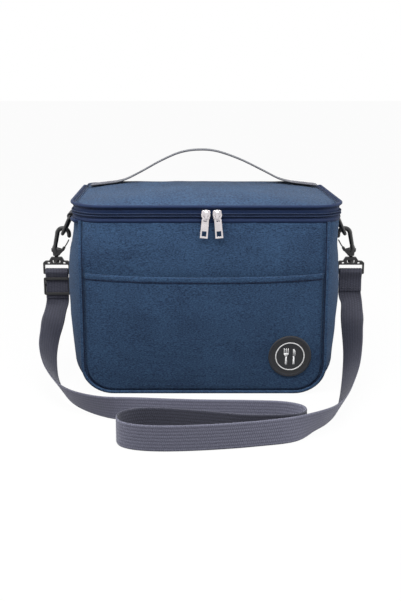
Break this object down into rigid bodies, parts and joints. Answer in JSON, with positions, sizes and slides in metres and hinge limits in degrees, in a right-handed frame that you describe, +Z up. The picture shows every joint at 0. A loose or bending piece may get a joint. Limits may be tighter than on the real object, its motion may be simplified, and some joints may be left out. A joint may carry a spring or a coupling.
{
  "type": "insulated lunch bag",
  "caption": "Soft insulated lunch bag: zipped lid on a cloth hinge, foil lining, front slip pocket, webbing top handle and a clip-on adjustable shoulder strap.",
  "frame": {"origin": "centre of the base on the surface it stands on", "axes": "+X towards the bag's right as seen from the front, +Y towards the back panel and the lid's hinge, +Z up"},
  "size_m": [0.3571, 0.3242, 0.2419],
  "materials": {
    "shell_fabric": "heathered woven polyester",
    "navy_binding": "ribbed binding tape",
    "zip_tape": "twill tape",
    "zip_coil": "moulded nylon",
    "foam": "closed-cell foam",
    "foil": "metallised film",
    "badge_rubber": "matt",
    "badge_print": "raised print",
    "thread": "sewing thread",
    "handle_webbing": "woven webbing",
    "black_webbing": "woven webbing",
    "strap_webbing": "ribbed woven webbing",
    "zip_metal": "polished nickel",
    "black_plastic": "moulded acetal"
  },
  "bodies": {
    "bag": {"front_panel": "shell_fabric", "back_panel": "shell_fabric", "gusset": "shell_fabric", "front_piping": "navy_binding", "back_piping": "navy_binding", "front_foam": "foam", "back_foam": "foam", "gusset_foam": "foam", "foil_liner": "foil", "pocket_panel": "shell_fabric", "pocket_hem": "shell_fabric", "badge": "badge_rubber", "badge_print": "badge_print", "rim_binding": "navy_binding", "zip_tape_lower": "zip_tape", "zip_coil_lower": "zip_coil", "hinge_strip": "navy_binding", "left_ring_tab": "black_webbing", "right_ring_tab": "black_webbing", "shoulder_strap": "strap_webbing"},
    "lid": {"lid_top": "shell_fabric", "lid_foam": "foam", "lid_liner": "foil", "lid_piping": "navy_binding", "lid_back_band": "shell_fabric", "zip_tape_upper": "zip_tape", "zip_coil_upper": "zip_coil", "handle": "handle_webbing", "handle_stitching": "thread"},
    "left_slider": {"left_slider": "zip_metal"},
    "right_slider": {"right_slider": "zip_metal"},
    "left_pull": {"left_pull": "zip_metal"},
    "right_pull": {"right_pull": "zip_metal"},
    "left_clip": {"left_d_ring": "black_plastic", "left_hook": "black_plastic", "left_swivel_frame": "black_plastic", "left_strap_loop": "strap_webbing", "strap_adjuster": "black_plastic"},
    "right_clip": {"right_d_ring": "black_plastic", "right_hook": "black_plastic", "right_swivel_frame": "black_plastic", "right_strap_loop": "strap_webbing"},
    "left_gate": {"left_gate": "black_plastic"},
    "right_gate": {"right_gate": "black_plastic"}
  },
  "joints": [
    {"name": "lid_hinge", "type": "hinge", "parent": "bag", "child": "lid", "pos_m": [0, 0.08, 0.1833], "axis": [-1, 0, 0], "range_deg": [0, 105]},
    {"name": "left_slider_run", "type": "slide", "parent": "bag", "child": "left_slider", "axis": [-1, 0, 0], "range_m": [0, 0.1]},
    {"name": "right_slider_run", "type": "slide", "parent": "bag", "child": "right_slider", "axis": [1, 0, 0], "range_m": [0, 0.088]},
    {"name": "left_pull_swing", "type": "hinge", "parent": "left_slider", "child": "left_pull", "pos_m": [0.0021, -0.0869, 0.1947], "axis": [-1, 0, 0], "range_deg": [0, 150]},
    {"name": "right_pull_swing", "type": "hinge", "parent": "right_slider", "child": "right_pull", "pos_m": [0.0133, -0.0869, 0.1947], "axis": [-1, 0, 0], "range_deg": [0, 150]},
    {"name": "left_ring_swing", "type": "hinge", "parent": "bag", "child": "left_clip", "pos_m": [-0.1448, 0, 0.178], "axis": [0, 1, 0], "range_deg": [0, 30]},
    {"name": "right_ring_swing", "type": "hinge", "parent": "bag", "child": "right_clip", "pos_m": [0.1448, 0, 0.178], "axis": [0, -1, 0], "range_deg": [0, 30]},
    {"name": "left_gate_press", "type": "hinge", "parent": "left_clip", "child": "left_gate", "pos_m": [-0.1544, 0, 0.1406], "axis": [0, -1, 0], "range_deg": [0, 22], "stiffness_Nm_per_rad": 0.03, "springref_deg": -17.19},
    {"name": "right_gate_press", "type": "hinge", "parent": "right_clip", "child": "right_gate", "pos_m": [0.1544, 0, 0.1406], "axis": [0, 1, 0], "range_deg": [0, 22], "stiffness_Nm_per_rad": 0.03, "springref_deg": -17.19}
  ]
}
